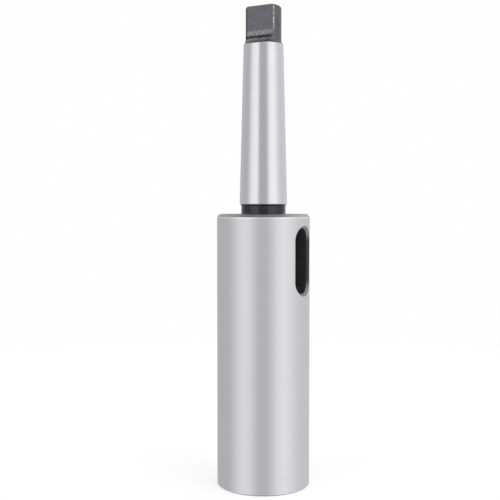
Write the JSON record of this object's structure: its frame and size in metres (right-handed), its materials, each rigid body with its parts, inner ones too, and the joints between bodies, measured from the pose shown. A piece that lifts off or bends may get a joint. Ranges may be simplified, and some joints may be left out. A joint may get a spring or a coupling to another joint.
{
  "type": "morse taper sleeve",
  "caption": "Extension taper sleeve: a tanged taper shank stands on a larger cylindrical body with a tapered socket and a cross slot for the drift.",
  "frame": {"origin": "centre of the socket's mouth, in the plane of the end face that the sleeve stands on", "axes": "+Z along the common axis of both tapers, towards the tang; +X along the drift slot; the tang's flats face +Y and -Y"},
  "size_m": [0.047, 0.047, 0.242],
  "materials": {
    "steel": "hardened and cylindrically ground steel; tang, neck, bevels, drift slot and relief bore left black from heat treatment"
  },
  "bodies": {
    "root": {"taper_sleeve": "steel"}
  },
  "joints": []
}
